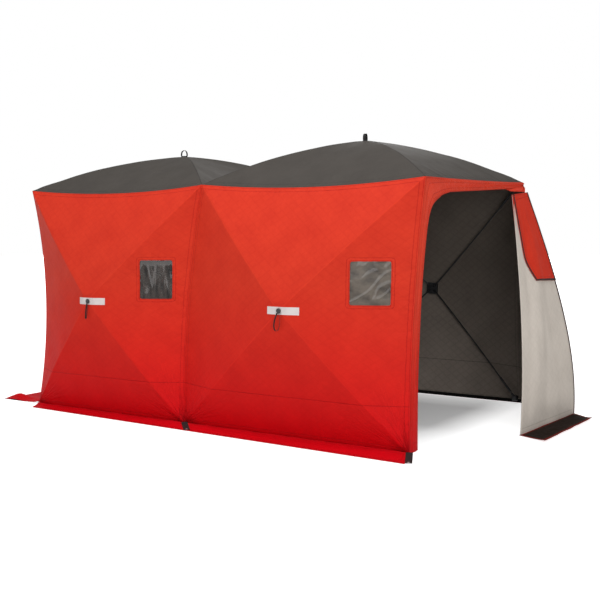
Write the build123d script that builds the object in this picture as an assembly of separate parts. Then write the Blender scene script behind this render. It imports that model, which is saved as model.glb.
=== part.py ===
"""Two-room pop-up ice fishing hut.

A tent of quilted cloth stands over seven hubs. Each hub sits at the middle of
a wall or roof panel and pushes it outward through four bent rods, which run to
the panel's corners. The frame here has +X along the hut towards the door, +Z up
and -Y out of the front wall. The two rooms share one open space.
"""
import math
import os

from build123d import *

# Plan of the rooms, at the foot of the walls and at the eaves
left_base_x = -1676.0
middle_base_x = -103.0
right_base_x = 1770.0
left_top_x = -1831.0
middle_top_x = -24.0
right_top_x = 1818.0
base_half_width = 992.0
end_top_half_width = 851.0
middle_top_half_width = 823.0

# Heights
eave_height = 1769.0
left_peak_height = 2045.0
right_peak_height = 2085.0
wall_hub_height = 900.0

# Hubs: where each pair stands, and how far it pushes the cloth out
left_hub_x = -882.0
right_hub_x = 896.0
wall_hub_reach = 180.0
wall_rod_bow = 22.0
roof_rod_bow = 46.0

# Cloth
wall_cloth = 6.0
patch_radius = 76.0
left_seam_pull = 70.0
left_seam_tuck = 48.0
middle_seam_pull = -70.0
middle_seam_tuck = 24.0
right_seam_pull = -30.0
right_seam_tuck = 4.0
eave_sag = 44.0
eave_tuck = 16.0
end_eave_sag = 6.0
valley_sag = 60.0

# Rods, hubs and corner brackets
rod_radius = 5.5
rod_clearance = 0.3
sleeve_radius = 9.0
sleeve_length = 150.0
hub_width = 92.0
hub_depth = 26.0
hub_corner_radius = 14.0
hub_web = 5.0
slot_clearance = 0.5
slot_start = 17.0
pin_radius = 2.5
pin_offset = 33.0
eye_length = 10.0
eye_reach = 14.0
bolt_radius = 4.0
bolt_clearance = 0.5
cap_radius = 17.5
cap_thickness = 9.0
bracket_inset = 44.0
bracket_width = 42.0
bracket_chamfer = 6.0
socket_radius = 10.5
socket_length = 46.0
socket_floor = 18.0

# Strips, straps and loops held by the hubs' bolts
strip_width = 250.0
strip_height = 52.0
strip_shift = 22.0
strip_thickness = 1.2
strip_gap = 0.4
webbing_thickness = 1.6
pull_strap_length = 138.0
pull_strap_width = 14.0
pull_strap_head = 8.0
pull_strap_lean = 9.0
roof_loop_width = 62.0
roof_loop_height = 57.0
roof_loop_strap = 15.0
roof_loop_shoulder = 24.0
roof_loop_foot = 6.0
left_roof_loop_turn = 0.0
right_roof_loop_turn = 90.0

# Windows
left_window_width = 230.0
left_window_height = 290.0
left_window_centre_height = 1067.0
left_window_offset = 526.0
right_window_width = 256.0
right_window_height = 284.0
right_window_centre_height = 1088.0
right_window_offset = 602.0
window_corner_radius = 14.0
film_thickness = 1.2
film_gap = 0.7
film_overlap = 18.0

# Doorway in the +X end: each point is set in from the side and down from the eaves
doorway_foot_inset = 111.0
doorway_waist_inset = 159.0
doorway_waist_drop = 1117.0
doorway_chest_inset = 196.0
doorway_chest_drop = 560.0
doorway_shoulder_inset = 245.0
doorway_shoulder_drop = 233.0
doorway_bend_inset = 376.0
doorway_bend_drop = 129.0
doorway_head_inset = 524.0
doorway_head_drop = 94.0
doorway_far_head_drop = 45.0
header_slope = 0.037
seam_strip_gap = 0.7

# Skirts and anchor tabs that lie on the ice
skirt_thickness = 4.0
skirt_left_reach = 150.0
skirt_left_overrun = 86.0
skirt_right_reach = 254.0
skirt_right_overrun = 97.0
end_skirt_front = 419.0
end_skirt_back = 280.0
tab_length = 265.0
tab_width = 46.0
tab_corner_radius = 8.0
tab_start = 4.0
tab_swing = 26.0
tab_gap = 0.3

# Door cloth
door_cloth = 5.0
hinge_x = 1850.0
hinge_y = 812.0
door_foot_height = 6.0
door_head_drop = 79.0
bead_radius = 4.5
bead_gap = 0.3

# The folded leaf: guide points of its fold and of its free edge, foot to head
fold_foot = (2182.0, -136.0)
fold_low_guide = (2129.0, 91.0, 568.0)
fold_high_guide = (1992.0, 319.0, 1120.0)
fold_head = (1840.0, 545.0)
fold_head_drop = 22.0
edge_foot = (2259.0, 792.0)
edge_low_guide = (2289.0, 797.0, 598.0)
edge_high_guide = (2031.0, 800.0, 1229.0)
edge_head = (1868.0, 806.0)
door_skirt_near = (2401.0, -253.0)
door_skirt_far = (2445.0, 641.0)
door_skirt_tuck = 8.0
door_skirt_low = 2.0
door_skirt_gap = 0.3

# Zip tapes on the leaf, and the flap turned down over it from its head
zip_width = 16.0
zip_thickness = 1.2
zip_gap = 0.3
flap_gap = 0.5
flap_cloth = 3.0
flap_head_width = 237.0
flap_upper_width = 351.0
flap_upper_drop = 354.0
flap_lower_width = 379.0
flap_lower_drop = 500.0
flap_foot_width = 345.0
flap_foot_drop = 672.0
flap_foot_slope = 38.0

front = -1
back = 1
base_x = {"left": left_base_x, "middle": middle_base_x, "right": right_base_x}
top_x = {"left": left_top_x, "middle": middle_top_x, "right": right_top_x}
top_half_width = {
    "left": end_top_half_width,
    "middle": middle_top_half_width,
    "right": end_top_half_width,
}
seam_pull = {"left": left_seam_pull, "middle": middle_seam_pull, "right": right_seam_pull}
seam_tuck = {"left": left_seam_tuck, "middle": middle_seam_tuck, "right": right_seam_tuck}
hub_x = {"left": left_hub_x, "right": right_hub_x}
peak_height = {"left": left_peak_height, "right": right_peak_height}
roof_loop_turn = {"left": left_roof_loop_turn, "right": right_roof_loop_turn}
strap_seat = strip_gap + strip_thickness
wall_foot = skirt_thickness
ends_of_room = {"left": ("left", "middle"), "right": ("middle", "right")}


# ---------------------------------------------------------------- surfaces
def patch_face(rows):
    """A smooth cloth face from its grid of guide points."""
    return Face.make_bezier_surface(rows)


def middle_of(a, b):
    return (a + b) * 0.5


def rim_face(outer, inner):
    return patch_face([outer, inner])


def solid_of(faces):
    solid = Solid(Shell(faces))
    if solid.volume < 0:
        solid = Solid(Shell([-face for face in faces]))
    return solid


def sheet(outer, inner):
    """A closed sheet between two grids of guide points of the same size."""
    faces = [patch_face(outer), patch_face(inner)]
    faces.append(rim_face(outer[0], inner[0]))
    faces.append(rim_face(outer[-1], inner[-1]))
    faces.append(rim_face([r[0] for r in outer], [r[0] for r in inner]))
    faces.append(rim_face([r[-1] for r in outer], [r[-1] for r in inner]))
    return solid_of(faces)


# ---------------------------------------------------------------- seams
# A seam is two curves, the outer skin's and the lining's. Each is a start, a guide
# point and an end.
def across(station):
    """From the outer skin towards the lining, along the hut."""
    return {"left": wall_cloth, "middle": 0.0, "right": -wall_cloth}[station]


def base_corner(station, side):
    outer = Vector(base_x[station], side * base_half_width, wall_foot)
    return outer, outer + Vector(across(station), -side * wall_cloth, 0)


def top_corner(station, side):
    outer = Vector(top_x[station], side * top_half_width[station], eave_height)
    return outer, outer + Vector(across(station), -side * wall_cloth, -wall_cloth)


def curved_seam(start, end, bow, guide_shift):
    outer_guide = middle_of(start[0], end[0]) + bow * 2
    outer = [start[0], outer_guide, end[0]]
    inner = [start[1], outer_guide + guide_shift, end[1]]
    return outer, inner


def upright_seam(station, side):
    bow = Vector(seam_pull[station], -side * seam_tuck[station], 0)
    shift = Vector(across(station), -side * wall_cloth, -wall_cloth / 2)
    return curved_seam(base_corner(station, side), top_corner(station, side), bow, shift)


def foot_seam(room, side):
    a, b = ends_of_room[room]
    shift = Vector((across(a) + across(b)) / 2, -side * wall_cloth, 0)
    return curved_seam(base_corner(a, side), base_corner(b, side), Vector(0, 0, 0), shift)


def eave_seam(room, side):
    a, b = ends_of_room[room]
    bow = Vector(0, -side * eave_tuck, -eave_sag)
    shift = Vector((across(a) + across(b)) / 2, -side * wall_cloth, -wall_cloth)
    return curved_seam(top_corner(a, side), top_corner(b, side), bow, shift)


def end_foot_seam(station):
    shift = Vector(across(station), 0, 0)
    corners = base_corner(station, front), base_corner(station, back)
    return curved_seam(*corners, Vector(0, 0, 0), shift)


def end_eave_seam(station):
    bow = Vector(0, 0, -end_eave_sag)
    shift = Vector(across(station), 0, -wall_cloth)
    return curved_seam(top_corner(station, front), top_corner(station, back), bow, shift)


def valley_seam():
    """Where the two roofs meet, over the open middle of the hut."""
    bow = Vector(0, 0, -valley_sag)
    shift = Vector(0, 0, -wall_cloth)
    return curved_seam(top_corner("middle", front), top_corner("middle", back), bow, shift)


def turned(seam):
    return seam[0][::-1], seam[1][::-1]


# ---------------------------------------------------------------- popped panels
class Panel:
    """A wall or roof panel pushed out by a hub: seams in order round it."""

    def __init__(self, seams, hub, normal, bow):
        self.seams = seams
        self.hub = hub
        self.normal = normal
        self.bow = bow
        self.corners = [seam[0][0] for seam in seams]

    def reach_direction(self, corner):
        """Along the panel from the hub towards a corner."""
        flat = corner - self.hub
        flat = flat - self.normal * flat.dot(self.normal)
        return flat.normalized()

    def skin(self, layer):
        """Guide grids of the four facets, on the outer skin or the lining."""
        depth = self.normal * (-wall_cloth * layer)
        grids = []
        for seam in self.seams:
            start, guide, end = seam[layer]
            hub_start = self.hub + self.reach_direction(seam[0][0]) * patch_radius
            hub_end = self.hub + self.reach_direction(seam[0][2]) * patch_radius
            push = self.normal * (2 * self.bow)
            ridge_start = middle_of(hub_start, seam[0][0]) + push
            ridge_end = middle_of(hub_end, seam[0][2]) + push
            hub_middle = middle_of(hub_start, hub_end)
            centre = middle_of(ridge_start, ridge_end) + middle_of(hub_middle, seam[0][1])
            corner_sum = hub_start + hub_end + seam[0][0] + seam[0][2]
            centre = centre - corner_sum * 0.25
            rows = [
                [hub_start + depth, hub_middle + depth, hub_end + depth],
                [ridge_start + depth, centre + depth, ridge_end + depth],
                [start, guide, end],
            ]
            grids.append(rows)
        return grids

    def cloth(self):
        """The panel as a closed solid of the real cloth's thickness."""
        faces = []
        for layer in (0, 1):
            grids = self.skin(layer)
            faces += [patch_face(grid) for grid in grids]
            middle = [Edge.make_line(grid[0][0], grid[0][2]) for grid in grids]
            faces.append(Face(Wire(middle)))
        faces += [rim_face(seam[0], seam[1]) for seam in self.seams]
        return solid_of(faces) - self.bolt_hole()

    def bolt_hole(self):
        """What the hub's bolt needs through the cloth and all that lies on it."""
        reach = wall_cloth + strap_seat + 2 * webbing_thickness
        return Solid.make_cylinder(bolt_radius + bolt_clearance, 2 * reach, self.hub_plane(reach))

    def hub_plane(self, lift=0.0):
        """A plane on the hub, facing out, its X towards the first corner."""
        origin = self.hub + self.normal * lift
        return Plane(origin, x_dir=self.reach_direction(self.corners[0]), z_dir=-self.normal)

    def face_plane(self, lift):
        """A plane over a wall's hub, facing out, its X level."""
        level = Vector(0, 0, 1).cross(self.normal)
        return Plane(self.hub + self.normal * lift, x_dir=level, z_dir=self.normal)


def long_wall(room, side):
    a, b = ends_of_room[room]
    seams = [
        foot_seam(room, side),
        upright_seam(b, side),
        turned(eave_seam(room, side)),
        turned(upright_seam(a, side)),
    ]
    hub = Vector(hub_x[room], side * (base_half_width + wall_hub_reach), wall_hub_height)
    return Panel(seams, hub, Vector(0, side, 0), wall_rod_bow)


def end_wall():
    seams = [
        end_foot_seam("left"),
        upright_seam("left", back),
        turned(end_eave_seam("left")),
        turned(upright_seam("left", front)),
    ]
    hub = Vector(left_base_x - wall_hub_reach, 0, wall_hub_height)
    return Panel(seams, hub, Vector(-1, 0, 0), wall_rod_bow)


def roof(room):
    a, b = ends_of_room[room]
    far_end = end_eave_seam("right") if room == "right" else valley_seam()
    near_end = valley_seam() if room == "right" else end_eave_seam("left")
    seams = [
        eave_seam(room, front),
        far_end,
        turned(eave_seam(room, back)),
        turned(near_end),
    ]
    hub = Vector(hub_x[room], 0, peak_height[room])
    return Panel(seams, hub, Vector(0, 0, 1), roof_rod_bow)


# ---------------------------------------------------------------- windows
def window_plane(room, side):
    """On the wall's base line, at the window's centre, facing out of the hut."""
    offset = {"left": left_window_offset, "right": right_window_offset}[room]
    height = {"left": left_window_centre_height, "right": right_window_centre_height}[room]
    x = hub_x[room] - side * offset
    return Plane((x, side * base_half_width, height), z_dir=(0, side, 0))


def window_block(room, side, grow):
    """A block through the wall, as large as the window and a margin round it."""
    size = {
        "left": (left_window_width, left_window_height),
        "right": (right_window_width, right_window_height),
    }[room]
    width, height = (length + 2 * grow for length in size)
    outline = RectangleRounded(width, height, window_corner_radius + grow)
    return extrude(window_plane(room, side) * outline, amount=wall_hub_reach, both=True)


def layer(panel, skin, lift_out, lift_in):
    """A closed sheet along one face of the cloth, between two heights above it."""
    outer = [offset_grid(grid, panel.normal * lift_out) for grid in panel.skin(skin)]
    inner = [offset_grid(grid, panel.normal * lift_in) for grid in panel.skin(skin)]
    faces = [patch_face(grid) for grid in outer + inner]
    for grids in (outer, inner):
        faces.append(Face(Wire([Edge.make_line(g[0][0], g[0][2]) for g in grids])))
    faces += [rim_face(a[2], b[2]) for a, b in zip(outer, inner)]
    return solid_of(faces)


def offset_grid(grid, shift):
    return [[point + shift for point in row] for row in grid]


def window_film(panel, room, side):
    """Clear film behind the opening, held to the lining all round it."""
    film = layer(panel, 1, -film_gap, -film_gap - film_thickness)
    return film & window_block(room, side, film_overlap)


# ---------------------------------------------------------------- hub frame
def bracket_centre(station, side, level):
    """Centre of the moulded bracket inside a corner of the hut."""
    inset = {"left": bracket_inset, "middle": 0.0, "right": -bracket_inset}[station]
    corner = base_corner(station, side)[0] if level == "base" else top_corner(station, side)[0]
    rise = bracket_inset if level == "base" else -bracket_inset
    return corner + Vector(inset, -side * bracket_inset, rise)


def hub_socket(panel):
    """Middle of the hub's moulding, where its rods are pinned."""
    return panel.hub - panel.normal * (wall_cloth + hub_depth / 2)


def rod_arc(panel, target):
    """Centre line of a rod from its pin in the hub to a corner bracket."""
    centre = hub_socket(panel)
    along = target - centre
    start = centre + panel_direction(panel, along) * pin_offset
    end = target - along.normalized() * socket_floor
    crown = middle_of(start, end) + panel.normal * panel.bow
    return Edge.make_three_point_arc(start, crown, end)


def panel_direction(panel, along):
    flat = along - panel.normal * along.dot(panel.normal)
    return flat.normalized()


def tube_along(path, radius):
    """A round bar bent along an arc."""
    start = path @ 0
    bend_axis = Axis(path.arc_center, (start - path.arc_center).cross(path % 0))
    section = Plane(start, z_dir=path % 0) * Circle(radius)
    return revolve(section, bend_axis, math.degrees(path.length / path.radius))


def hub_pin(panel, target, radius, length):
    """The cross pin that holds one rod in the hub."""
    direction = panel_direction(panel, target - hub_socket(panel))
    axis = direction.cross(panel.normal)
    middle = hub_socket(panel) + direction * pin_offset
    return Solid.make_cylinder(radius, length, Plane(middle - axis * (length / 2), z_dir=axis))


def rod(panel, target):
    """One fibreglass rod: a drilled eye, a bowed shaft and a thick sleeve near its tip."""
    path = rod_arc(panel, target)
    eye_start = eye_length / path.length
    eye_plane = Plane(path @ eye_start, z_dir=-(path % eye_start))
    eye = Solid.make_cylinder(rod_radius, eye_length + eye_reach, eye_plane)
    eye -= hub_pin(panel, target, pin_radius + rod_clearance, 4 * rod_radius)
    shaft = tube_along(path.trim(eye_start, 1), rod_radius)
    sleeve_start = path @ (1 - (socket_length + sleeve_length) / path.length)
    sleeve_end = path @ (1 - socket_length / path.length)
    along = sleeve_end - sleeve_start
    sleeve = Solid.make_cylinder(sleeve_radius, along.length, Plane(sleeve_start, z_dir=along))
    return eye + shaft + sleeve


def hub(panel, targets, seat):
    """Moulded hub: a slotted body inside, a bolt through the cloth, a cap on its seat."""
    inside = panel.hub_plane(-wall_cloth)
    turned_square = Rot(0, 0, 45) * RectangleRounded(hub_width, hub_width, hub_corner_radius)
    body = extrude(inside * turned_square, hub_depth)
    slot_width = 2 * (rod_radius + slot_clearance)
    for target in targets:
        direction = panel_direction(panel, target - hub_socket(panel))
        floor = panel.hub - panel.normal * (wall_cloth + hub_web)
        slot_plane = Plane(floor, x_dir=direction, z_dir=-panel.normal)
        slot_size = slot_plane * Pos(slot_start + hub_width / 2, 0) * Rectangle(hub_width, slot_width)
        body -= extrude(slot_size, hub_depth)
        body += hub_pin(panel, target, pin_radius, slot_width + 2 * pin_radius)
    cap_top = panel.hub_plane(seat + cap_thickness)
    body += Solid.make_cylinder(bolt_radius, wall_cloth + seat + cap_thickness, cap_top)
    cap = Solid.make_cylinder(cap_radius, cap_thickness, cap_top)
    outer_rim = cap.faces().sort_by(Axis(panel.hub, panel.normal))[-1].edges()
    body += chamfer(outer_rim, cap_thickness / 3)
    return body


def bracket(centre, rods):
    """Corner bracket with a socket for each rod that ends in it."""
    block = Box(bracket_width, bracket_width, bracket_width)
    body = Pos(*centre) * chamfer(block.edges(), bracket_chamfer)
    bores = []
    for path in rods:
        outward = -(path % 1)
        body += Solid.make_cylinder(socket_radius, socket_length, Plane(centre, z_dir=outward))
        bore_start = Plane(path @ 1, z_dir=outward)
        bores.append(Solid.make_cylinder(rod_radius + rod_clearance, 2 * socket_length, bore_start))
    for bore in bores:
        body -= bore
    return body


# ---------------------------------------------------------------- strips and straps
def hub_strip(panel):
    """Reflective strip sewn over a wall's point, with the hub's bolt through it."""
    outline = panel.face_plane(0) * Pos(strip_shift, 0) * Rectangle(strip_width, strip_height)
    strip = layer(panel, 0, strip_gap + strip_thickness, strip_gap)
    return (strip & extrude(outline, strip_width, both=True)) - panel.bolt_hole()


def pull_strap(panel):
    """Doubled webbing that hangs from the bolt of a wall hub."""
    down = Rot(0, 0, -90 - pull_strap_lean)
    hang = Pos(pull_strap_length / 2 - pull_strap_head, 0)
    corner = pull_strap_width / 3
    outline = RectangleRounded(pull_strap_length, pull_strap_width, corner)
    strap = extrude(panel.face_plane(strap_seat) * down * hang * outline, 2 * webbing_thickness)
    return strap - panel.bolt_hole()


def roof_loop(panel, turn):
    """Stiff webbing that stands up in a loop, its foot under the roof hub's cap."""
    loop = Rectangle(roof_loop_width, roof_loop_height, align=(Align.CENTER, Align.MIN))
    loop = fillet(loop.vertices().group_by(Axis.Y)[0], roof_loop_foot)
    loop = fillet(loop.vertices().group_by(Axis.Y)[-1], roof_loop_shoulder)
    ring = loop - offset(loop, -webbing_thickness)
    upright = Pos(*panel.hub) * Rot(0, 0, turn) * Rot(90, 0, 0) * ring
    return extrude(upright, roof_loop_strap / 2, both=True) - panel.bolt_hole()


# ---------------------------------------------------------------- door end
def doorway_point(inset, drop):
    """A point of the doorway's near side, drawn across the hut and up."""
    return inset - base_half_width, eave_height - drop


def doorway_block():
    """What the doorway takes out of the end."""
    foot = (doorway_foot_inset - base_half_width, -eave_sag)
    head = doorway_point(doorway_head_inset, doorway_head_drop)
    near_side = [
        foot,
        doorway_point(doorway_waist_inset, doorway_waist_drop),
        doorway_point(doorway_chest_inset, doorway_chest_drop),
        doorway_point(doorway_shoulder_inset, doorway_shoulder_drop),
        doorway_point(doorway_bend_inset, doorway_bend_drop),
        head,
    ]
    far_side = base_half_width + wall_hub_reach
    far_head_height = eave_height - doorway_far_head_drop
    side_curve = Spline(*near_side, tangents=[(0, 1), (1, header_slope)])
    far_head = (end_top_half_width, far_head_height)
    far_edge = (far_side, far_head_height)
    rest = Polyline(head, far_head, far_edge, (far_side, foot[1]), foot)
    outline = make_face(side_curve + rest)
    plane = Plane((middle_base_x, 0, 0), x_dir=(0, 1, 0), z_dir=(1, 0, 0))
    return extrude(plane * outline, amount=2 * hinge_x)


def door_frame():
    """The flat end round the doorway: near jamb and header in one cloth."""
    near, far = upright_seam("right", front), upright_seam("right", back)
    foot, eave = end_foot_seam("right"), end_eave_seam("right")
    grids = []
    for skin in (0, 1):
        corners = near[skin][0] + near[skin][2] + far[skin][0] + far[skin][2]
        centre = middle_of(near[skin][1], far[skin][1]) + middle_of(foot[skin][1], eave[skin][1])
        centre = centre - corners * 0.25
        grids.append([near[skin], [foot[skin][1], centre, eave[skin][1]], far[skin]])
    return sheet(*grids) - doorway_block()


def door_seam_strip():
    """Far jamb: cloth drawn out from the corner to the seam the door hangs on."""
    corner = upright_seam("right", back)
    low = Vector(hinge_x, hinge_y, wall_foot)
    high = Vector(hinge_x, hinge_y, eave_height)
    outer_seam = [low, middle_of(low, high), high]
    inner_seam = [point + Vector(-wall_cloth, -wall_cloth / 2, 0) for point in outer_seam]
    strip = sheet([corner[0], outer_seam], [corner[1], inner_seam])
    header = Pos(hinge_x, hinge_y, eave_height - doorway_far_head_drop - seam_strip_gap)
    above = Box(base_half_width, base_half_width, eave_height, align=(Align.CENTER, Align.CENTER, Align.MIN))
    strip -= header * above
    axis_foot = Plane((hinge_x, hinge_y, -wall_foot))
    return strip - Solid.make_cylinder(bead_radius + bead_gap, eave_height, axis_foot)


# ---------------------------------------------------------------- skirts
def ground_sheet(points, low, thickness):
    outline = make_face(Polyline(*points, close=True))
    return extrude(Pos(0, 0, low) * outline, thickness)


def long_skirt(side):
    """Skirt along a long wall, under its hem and out over the ice."""
    inner = side * (base_half_width - wall_cloth)
    points = [
        (left_base_x + wall_cloth, inner),
        (left_base_x, side * base_half_width),
        (left_base_x + skirt_left_overrun, side * (base_half_width + skirt_left_reach)),
        (right_base_x + skirt_right_overrun, side * (base_half_width + skirt_right_reach)),
        (right_base_x, side * base_half_width),
        (right_base_x, inner),
    ]
    return ground_sheet(points, 0, skirt_thickness)


def end_skirt():
    points = [
        (left_base_x + wall_cloth, -base_half_width + wall_cloth),
        (left_base_x, -base_half_width),
        (left_base_x - end_skirt_front, -base_half_width),
        (left_base_x - end_skirt_back, base_half_width),
        (left_base_x, base_half_width),
        (left_base_x + wall_cloth, base_half_width - wall_cloth),
    ]
    return ground_sheet(points, 0, skirt_thickness)


def anchor_tab(station, side):
    """Webbing tab that runs out over the skirt from a foot corner."""
    away = {"left": -1, "middle": 0, "right": 1}[station]
    corner = base_corner(station, side)[0]
    outward = Rot(0, 0, side * (90 - away * tab_swing)) * Pos(tab_start + tab_length / 2, 0)
    outline = outward * RectangleRounded(tab_length, tab_width, tab_corner_radius)
    return extrude(Pos(corner.X, corner.Y, skirt_thickness + tab_gap) * outline, webbing_thickness)


# ---------------------------------------------------------------- door
door_head_height = eave_height - door_head_drop
fold_line = [
    Vector(*fold_foot, door_foot_height),
    Vector(*fold_low_guide),
    Vector(*fold_high_guide),
    Vector(*fold_head, door_head_height - fold_head_drop),
]
free_edge = [
    Vector(*edge_foot, door_foot_height),
    Vector(*edge_low_guide),
    Vector(*edge_high_guide),
    Vector(*edge_head, door_head_height),
]


def door_panel():
    """The door cloth, folded back on itself along a slanting line."""
    axis_foot = Vector(hinge_x, hinge_y, door_foot_height)
    along_a = (fold_line[0] - axis_foot).normalized()
    hinge_foot = axis_foot + along_a * (bead_radius / 2)
    hinge_head = hinge_foot + Vector(0, 0, door_head_height - door_foot_height)
    hinge_line = [hinge_foot + (hinge_head - hinge_foot) * (i / 3) for i in range(4)]
    along_b = (free_edge[0] - fold_line[0]).normalized()
    into_fold_a = along_a.cross(Vector(0, 0, 1)) * -door_cloth
    into_fold_b = along_b.cross(Vector(0, 0, 1)) * -door_cloth
    bisector = (along_b - along_a).normalized()
    at_fold = bisector * (door_cloth / abs(bisector.dot(into_fold_a.normalized())))
    shifted_hinge = [point + into_fold_a for point in hinge_line]
    shifted_fold = [point + at_fold for point in fold_line]
    shifted_edge = [point + into_fold_b for point in free_edge]
    faces = [patch_face([hinge_line, fold_line]), patch_face([fold_line, free_edge])]
    faces += [patch_face([shifted_hinge, shifted_fold]), patch_face([shifted_fold, shifted_edge])]
    faces += [rim_face(hinge_line, shifted_hinge), rim_face(free_edge, shifted_edge)]
    for end in (0, -1):
        a = [hinge_line[end], fold_line[end]], [shifted_hinge[end], shifted_fold[end]]
        b = [fold_line[end], free_edge[end]], [shifted_fold[end], shifted_edge[end]]
        faces += [rim_face(*a), rim_face(*b)]
    bead = Solid.make_cylinder(bead_radius, door_head_height - door_foot_height, Plane(axis_foot))
    return solid_of(faces) + bead


def leaf_plane():
    """The mean plane of the folded leaf, from the head of its free edge, Y up."""
    across_leaf = free_edge[-1] - fold_line[-1]
    up_leaf = free_edge[-1] - free_edge[1]
    facing = across_leaf.cross(up_leaf)
    return Plane(free_edge[-1], x_dir=across_leaf, z_dir=facing)


def over_leaf(start, low, thickness):
    """A closed sheet over the leaf, from one line of guide points to its free edge."""
    facing = leaf_plane().z_dir
    inner = [[point + facing * low for point in line] for line in (start, free_edge)]
    outer = [[point + facing * (low + thickness) for point in line] for line in (start, free_edge)]
    return sheet(outer, inner)


def flap_outline(inset):
    """The flap's outline on the leaf's plane, running past the leaf's free edge."""
    side = [
        (inset - flap_head_width, zip_width),
        (inset - flap_upper_width, -flap_upper_drop),
        (inset - flap_lower_width, -flap_lower_drop),
        (inset - flap_foot_width, inset - flap_foot_drop),
    ]
    foot_end = (flap_foot_width, side[-1][1] - 2 * flap_foot_slope)
    rest = Polyline(side[-1], foot_end, (flap_foot_width, zip_width), side[0])
    return make_face(Spline(*side) + rest)


def on_flap(outline, low, thickness):
    """A sheet over the leaf, cut to an outline on the leaf's plane."""
    through = extrude(leaf_plane() * outline, 2 * zip_width, both=True)
    return over_leaf(fold_line, low, thickness) & through


flap_low = zip_gap + zip_thickness + flap_gap


def door_flap():
    """The head of the door, turned down over its lining."""
    return on_flap(flap_outline(0), flap_low, flap_cloth)


def door_zips():
    """Zip tapes: one along the leaf's free edge, one round the turned-down flap."""
    tape_line = []
    for fold_point, edge_point in zip(fold_line, free_edge):
        inward = (fold_point - edge_point).normalized()
        tape_line.append(edge_point + inward * zip_width)
    rim = flap_outline(0) - flap_outline(zip_width)
    return [
        over_leaf(tape_line, zip_gap, zip_thickness),
        on_flap(rim, flap_low + flap_cloth + zip_gap, zip_thickness),
    ]


def door_skirt():
    """Cloth hem that lies on the ice under the folded leaf."""
    points = [
        (fold_foot[0] - door_skirt_tuck, fold_foot[1]),
        door_skirt_near,
        door_skirt_far,
        (edge_foot[0] - door_skirt_tuck, edge_foot[1]),
    ]
    thickness = door_foot_height - door_skirt_low - door_skirt_gap
    return ground_sheet(points, door_skirt_low, thickness)


# ---------------------------------------------------------------- assembly
def assembly():
    pieces = {}
    panels = {}
    rods_at = {}
    for room in ("left", "right"):
        for side, word in ((front, "front"), (back, "back")):
            name = f"{word}_wall_{room}"
            panels[name] = long_wall(room, side)
            window = window_block(room, side, 0)
            pieces[name] = panels[name].cloth() - window
            pieces[f"{word}_window_{room}"] = window_film(panels[name], room, side)
        panels[f"roof_{room}"] = roof(room)
    panels["end_wall"] = end_wall()
    for name in ("roof_left", "roof_right", "end_wall"):
        pieces[name] = panels[name].cloth()
    ends = {
        "front_wall": (("base", front), ("top", front)),
        "back_wall": (("base", back), ("top", back)),
        "roof": (("top", front), ("top", back)),
    }
    for name, panel in panels.items():
        if name == "end_wall":
            keys = [("left", side, level) for side in (front, back) for level in ("base", "top")]
        else:
            kind, room = name.rsplit("_", 1)
            keys = [(s, side, level) for s in ends_of_room[room] for level, side in ends[kind]]
        targets = [bracket_centre(*key) for key in keys]
        rods = []
        for key, target in zip(keys, targets):
            rods.append(rod(panel, target))
            rods_at.setdefault(key, []).append(rod_arc(panel, target))
        pieces[f"{name}_rods"] = rods
        on_wall = "wall" in name
        seat = strap_seat + 2 * webbing_thickness if on_wall else webbing_thickness
        pieces[f"{name}_hub"] = hub(panel, targets, seat)
    walls = [panel for name, panel in panels.items() if "wall" in name]
    pieces["hub_strips"] = [hub_strip(panel) for panel in walls]
    pieces["pull_straps"] = [pull_strap(panel) for panel in walls]
    loops = [roof_loop(panels[f"roof_{room}"], roof_loop_turn[room]) for room in ends_of_room]
    pieces["roof_loops"] = loops
    for level in ("base", "top"):
        group = []
        for key, paths in rods_at.items():
            if key[2] == level:
                group.append(bracket(bracket_centre(*key), paths))
        pieces[f"{level}_brackets"] = group
    pieces["door_frame"] = door_frame()
    pieces["door_seam_strip"] = door_seam_strip()
    pieces["front_skirt"] = long_skirt(front)
    pieces["back_skirt"] = long_skirt(back)
    pieces["end_skirt"] = end_skirt()
    pieces["anchor_tabs"] = [anchor_tab(s, side) for s in base_x for side in (front, back)]
    pieces["door_panel"] = door_panel()
    pieces["door_flap"] = door_flap()
    pieces["door_zips"] = door_zips()
    pieces["door_skirt"] = door_skirt()
    return pieces


os.makedirs("parts", exist_ok=True)
if __name__ == "__main__":
    left_extent = left_base_x - end_skirt_front
    right_extent = door_skirt_far[0]
    to_centre = Pos(-(left_extent + right_extent) / 2, 0, 0)
    for name, shape in assembly().items():
        if isinstance(shape, list):
            placed = Compound(children=[to_centre * solid for solid in shape])
        else:
            placed = to_centre * shape
        export_step(placed, f"parts/{name}.step")
        print(name, placed.is_valid, round(placed.volume / 1e6, 3))
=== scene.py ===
# %% [markdown]
# # A pop-up ice fishing hut
# This lesson dresses the bare frame of a two-room hut: coated cloth walls and
# roofs, film windows, a folded-back door, the skirts on the ice and the webbing
# that hangs from the hubs. The hubs, rods and brackets come ready made from the
# frame, and only get their finishes here.

# %% Load the frame
import math

import bpy
import numpy as np
from mathutils import Matrix, Vector, noise


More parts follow.
